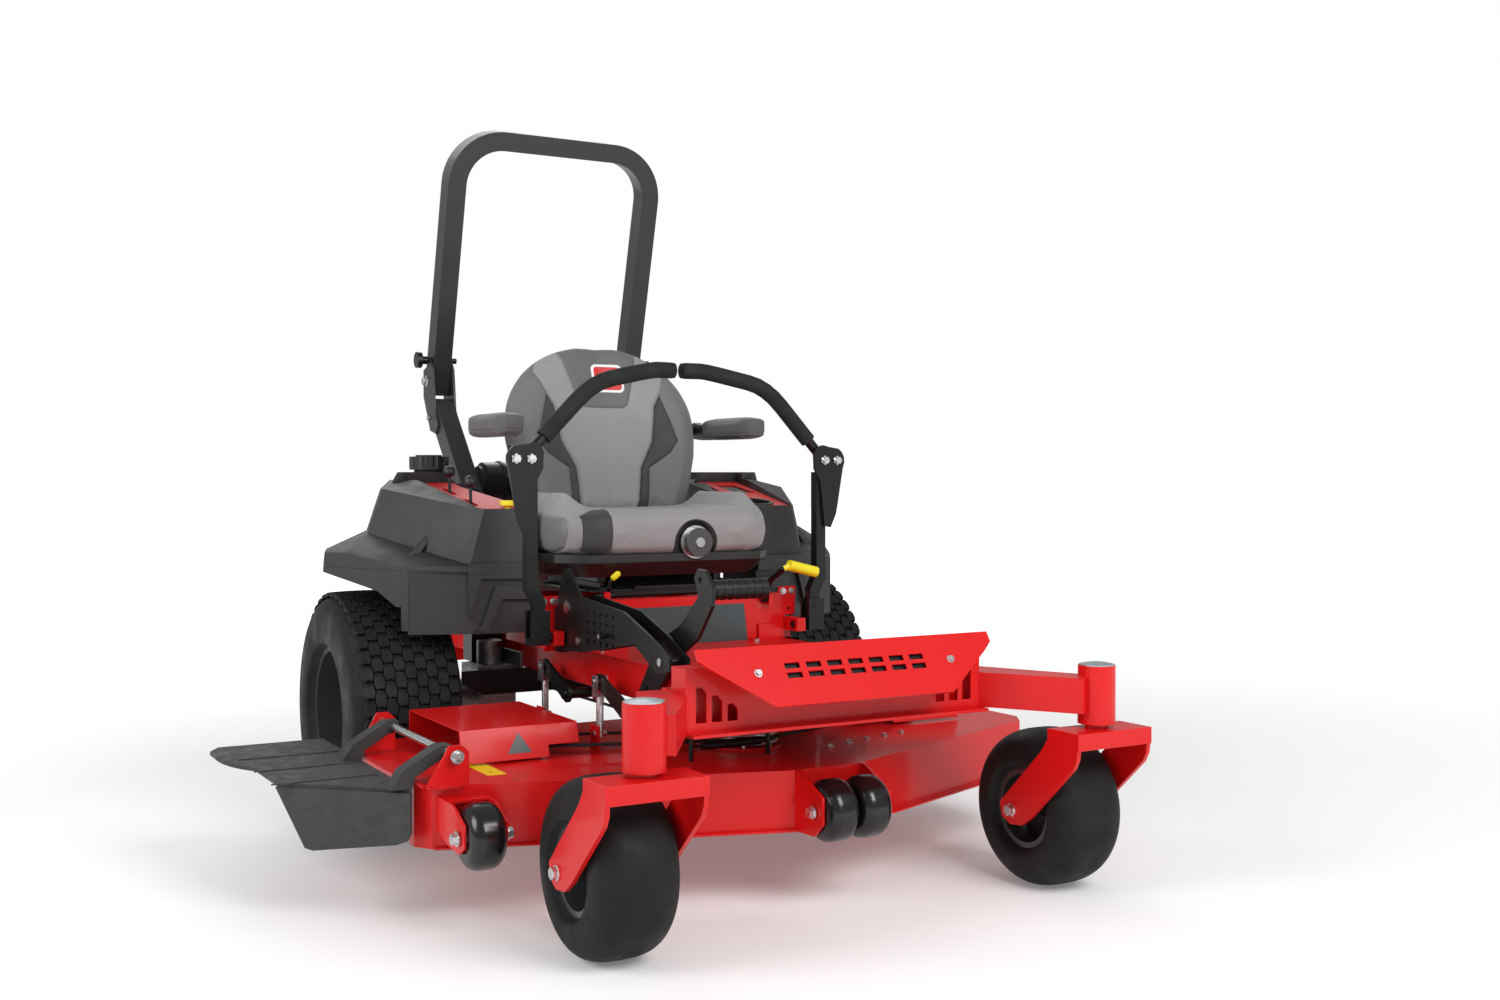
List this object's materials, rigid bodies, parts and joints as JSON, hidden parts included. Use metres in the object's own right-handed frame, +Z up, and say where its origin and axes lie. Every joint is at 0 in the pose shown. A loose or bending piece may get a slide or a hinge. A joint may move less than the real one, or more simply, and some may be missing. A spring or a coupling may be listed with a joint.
{
  "type": "riding lawn mower",
  "caption": "Zero-turn riding mower: swivel front casters, lap-bar levers, sprung seat, folding roll bar, rear engine and a lift-up side-discharge deck.",
  "frame": {"origin": "on the ground under the middle of the bounding box", "axes": "+Z up; the mower faces -Y; the operator's right hand, with the discharge chute, is -X"},
  "size_m": [1.816, 2.1234, 1.7958],
  "materials": {
    "red_paint": "gloss powder coat",
    "moulded_plastic": "textured matt",
    "black_paint": "satin powder coat",
    "cast_alloy": "as cast",
    "black_plastic": "satin",
    "zinc_steel": "zinc plated",
    "rim_paint": "satin",
    "tyre_rubber": "matt",
    "foam_rubber": "matt foam",
    "vinyl": "textured vinyl",
    "suspension_steel": "satin",
    "dial_metal": "satin",
    "belt_rubber": "matt",
    "spindle_steel": "machined and painted",
    "roller_plastic": "matt",
    "yellow_vinyl": "satin"
  },
  "bodies": {
    "chassis": {"frame_rails": "red_paint", "front_axle": "red_paint", "front_plate": "red_paint", "floor_pan": "red_paint", "seat_tower": "red_paint", "fenders": "moulded_plastic", "console_panels": "red_paint", "rops_base": "black_paint", "engine_block": "cast_alloy", "engine_shroud": "black_plastic", "air_cleaner": "black_plastic", "muffler": "black_paint", "engine_guard": "black_paint", "hydro_drives": "cast_alloy", "frame_hardware": "zinc_steel", "height_plates": "black_paint"},
    "caster_right": {"caster_fork_right": "red_paint"},
    "caster_wheel_right": {"caster_rim_right": "rim_paint", "caster_tyre_right": "tyre_rubber"},
    "drive_wheel_right": {"drive_rim_right": "rim_paint", "drive_tyre_right": "tyre_rubber"},
    "yoke_right": {"lever_yoke_right": "black_paint"},
    "lever_right": {"control_lever_right": "black_paint", "lever_grip_right": "foam_rubber"},
    "caster_left": {"caster_fork_left": "red_paint"},
    "caster_wheel_left": {"caster_rim_left": "rim_paint", "caster_tyre_left": "tyre_rubber"},
    "drive_wheel_left": {"drive_rim_left": "rim_paint", "drive_tyre_left": "tyre_rubber"},
    "yoke_left": {"lever_yoke_left": "black_paint"},
    "lever_left": {"control_lever_left": "black_paint", "lever_grip_left": "foam_rubber"},
    "seat_platform": {"seat_platform": "suspension_steel"},
    "seat": {"seat_pan": "black_plastic", "seat_cushion": "vinyl", "seat_back": "vinyl"},
    "armrest_right": {"armrest_right": "black_plastic"},
    "armrest_left": {"armrest_left": "black_plastic"},
    "dial": {"suspension_dial": "dial_metal"},
    "hoop": {"rops_hoop": "black_paint"},
    "rops_pin_right": {"rops_pin_right": "zinc_steel"},
    "rops_pin_left": {"rops_pin_left": "zinc_steel"},
    "deck": {"deck_shell": "red_paint", "belt_covers": "red_paint", "deck_fittings": "zinc_steel", "deck_belt": "belt_rubber"},
    "spindle_right": {"spindle_right": "spindle_steel"},
    "spindle_centre": {"spindle_centre": "spindle_steel"},
    "spindle_left": {"spindle_left": "spindle_steel"},
    "pto": {"pto_clutch": "spindle_steel"},
    "roller_right": {"roller_right": "roller_plastic"},
    "rollers_centre": {"rollers_centre": "roller_plastic"},
    "chute": {"chute": "belt_rubber"},
    "lift_pedal": {"lift_pedal": "black_paint"},
    "rear_lift_shaft": {"rear_lift_shaft": "black_paint"},
    "parking_brake": {"parking_brake": "yellow_vinyl"},
    "throttle": {"throttle_lever": "black_plastic"},
    "choke": {"choke_lever": "black_plastic"},
    "pto_switch": {"pto_knob": "yellow_vinyl"},
    "fuel_cap": {"fuel_cap": "black_plastic"}
  },
  "joints": [
    {"name": "caster_swivel_right", "type": "hinge", "parent": "chassis", "child": "caster_right", "pos_m": [-0.404, -1.0055, 0.4], "axis": [0, 0, 1], "continuous": true},
    {"name": "caster_spin_right", "type": "hinge", "parent": "caster_right", "child": "caster_wheel_right", "pos_m": [-0.404, -0.8565, 0.165], "axis": [1, 0, 0], "continuous": true},
    {"name": "drive_spin_right", "type": "hinge", "parent": "chassis", "child": "drive_wheel_right", "pos_m": [-0.4635, 0.3565, 0.292], "axis": [1, 0, 0], "continuous": true},
    {"name": "lever_stroke_right", "type": "hinge", "parent": "chassis", "child": "yoke_right", "pos_m": [-0.232, -0.1585, 0.5], "axis": [1, 0, 0], "range_deg": [-6, 14]},
    {"name": "lever_swing_right", "type": "hinge", "parent": "yoke_right", "child": "lever_right", "pos_m": [-0.253, -0.1585, 0.545], "axis": [0, -1, 0], "range_deg": [0, 30]},
    {"name": "caster_swivel_left", "type": "hinge", "parent": "chassis", "child": "caster_left", "pos_m": [0.62, -1.0055, 0.4], "axis": [0, 0, 1], "continuous": true},
    {"name": "caster_spin_left", "type": "hinge", "parent": "caster_left", "child": "caster_wheel_left", "pos_m": [0.62, -0.8565, 0.165], "axis": [1, 0, 0], "continuous": true},
    {"name": "drive_spin_left", "type": "hinge", "parent": "chassis", "child": "drive_wheel_left", "pos_m": [0.6795, 0.3565, 0.292], "axis": [1, 0, 0], "continuous": true},
    {"name": "lever_stroke_left", "type": "hinge", "parent": "chassis", "child": "yoke_left", "pos_m": [0.448, -0.1585, 0.5], "axis": [1, 0, 0], "range_deg": [-6, 14]},
    {"name": "lever_swing_left", "type": "hinge", "parent": "yoke_left", "child": "lever_left", "pos_m": [0.469, -0.1585, 0.545], "axis": [0, 1, 0], "range_deg": [0, 30]},
    {"name": "seat_tilt", "type": "hinge", "parent": "chassis", "child": "seat_platform", "pos_m": [0.108, -0.0755, 0.583], "axis": [1, 0, 0], "range_deg": [0, 20]},
    {"name": "seat_slide", "type": "slide", "parent": "seat_platform", "child": "seat", "axis": [0, 1, 0], "range_m": [-0.04, 0.07]},
    {"name": "armrest_lift_right", "type": "hinge", "parent": "seat", "child": "armrest_right", "pos_m": [-0.208, 0.3665, 0.985], "axis": [-1, 0, 0], "range_deg": [0, 95]},
    {"name": "armrest_lift_left", "type": "hinge", "parent": "seat", "child": "armrest_left", "pos_m": [0.424, 0.3665, 0.985], "axis": [-1, 0, 0], "range_deg": [0, 95]},
    {"name": "dial_turn", "type": "hinge", "parent": "seat", "child": "dial", "pos_m": [0.156, -0.1485, 0.706], "axis": [0, 1, 0], "range_deg": [-150, 150]},
    {"name": "rops_fold", "type": "hinge", "parent": "chassis", "child": "hoop", "pos_m": [0.108, 0.7515, 1.122], "axis": [-1, 0, 0], "range_deg": [0, 120]},
    {"name": "rops_pin_pull_right", "type": "slide", "parent": "hoop", "child": "rops_pin_right", "axis": [-1, 0, 0], "range_m": [0, 0.06]},
    {"name": "rops_pin_pull_left", "type": "slide", "parent": "hoop", "child": "rops_pin_left", "axis": [1, 0, 0], "range_m": [0, 0.06]},
    {"name": "deck_lift", "type": "slide", "parent": "chassis", "child": "deck", "axis": [0, 0, 1], "range_m": [-0.1, 0], "deforming": ["deck_belt"]},
    {"name": "spindle_right_spin", "type": "hinge", "parent": "deck", "child": "spindle_right", "pos_m": [-0.368, -0.2385, 0.292], "axis": [0, 0, 1], "continuous": true},
    {"name": "spindle_centre_spin", "type": "hinge", "parent": "deck", "child": "spindle_centre", "pos_m": [0.127, -0.4185, 0.292], "axis": [0, 0, 1], "continuous": true},
    {"name": "spindle_left_spin", "type": "hinge", "parent": "deck", "child": "spindle_left", "pos_m": [0.622, -0.2385, 0.292], "axis": [0, 0, 1], "continuous": true},
    {"name": "pto_spin", "type": "hinge", "parent": "chassis", "child": "pto", "pos_m": [0.108, 0.7315, 0.292], "axis": [0, 0, 1], "continuous": true},
    {"name": "roller_right_spin", "type": "hinge", "parent": "deck", "child": "roller_right", "pos_m": [-0.5645, -0.6435, 0.194], "axis": [1, 0, 0], "continuous": true},
    {"name": "rollers_centre_spin", "type": "hinge", "parent": "deck", "child": "rollers_centre", "pos_m": [0.151, -0.7985, 0.198], "axis": [1, 0, 0], "continuous": true},
    {"name": "chute_raise", "type": "hinge", "parent": "deck", "child": "chute", "pos_m": [-0.582, -0.3085, 0.33], "axis": [0, 1, 0], "range_deg": [0, 85]},
    {"name": "pedal_turn", "type": "hinge", "parent": "chassis", "child": "lift_pedal", "pos_m": [0.108, -0.4385, 0.368], "axis": [1, 0, 0], "range_deg": [-42.04, 0]},
    {"name": "rear_shaft_turn", "type": "hinge", "parent": "chassis", "child": "rear_lift_shaft", "pos_m": [0.108, -0.1295, 0.368], "axis": [1, 0, 0], "range_deg": [-42.04, 0]},
    {"name": "brake_turn", "type": "hinge", "parent": "chassis", "child": "parking_brake", "pos_m": [0.366, -0.1255, 0.56], "axis": [1, 0, 0], "range_deg": [-12, 8]},
    {"name": "throttle_turn", "type": "hinge", "parent": "chassis", "child": "throttle", "pos_m": [-0.3, 0.2895, 0.775], "axis": [1, 0, 0], "range_deg": [-18, 18]},
    {"name": "choke_turn", "type": "hinge", "parent": "chassis", "child": "choke", "pos_m": [-0.302, 0.1375, 0.75], "axis": [1, 0, 0], "range_deg": [-18, 18]},
    {"name": "pto_pull", "type": "slide", "parent": "chassis", "child": "pto_switch", "axis": [0, 0, 1], "range_m": [0, 0.012]},
    {"name": "cap_turn", "type": "hinge", "parent": "chassis", "child": "fuel_cap", "pos_m": [-0.284, 0.5035, 0.89], "axis": [0, 0, 1], "continuous": true}
  ],
  "couplings": [
    {"joint": "spindle_right_spin", "follows": "pto_spin", "ratio": 0.93333},
    {"joint": "spindle_centre_spin", "follows": "pto_spin", "ratio": 0.93333},
    {"joint": "spindle_left_spin", "follows": "pto_spin", "ratio": 0.93333},
    {"joint": "pedal_turn", "follows": "deck_lift", "rad_per_m": 7.303},
    {"joint": "rear_shaft_turn", "follows": "deck_lift", "rad_per_m": 7.303}
  ]
}
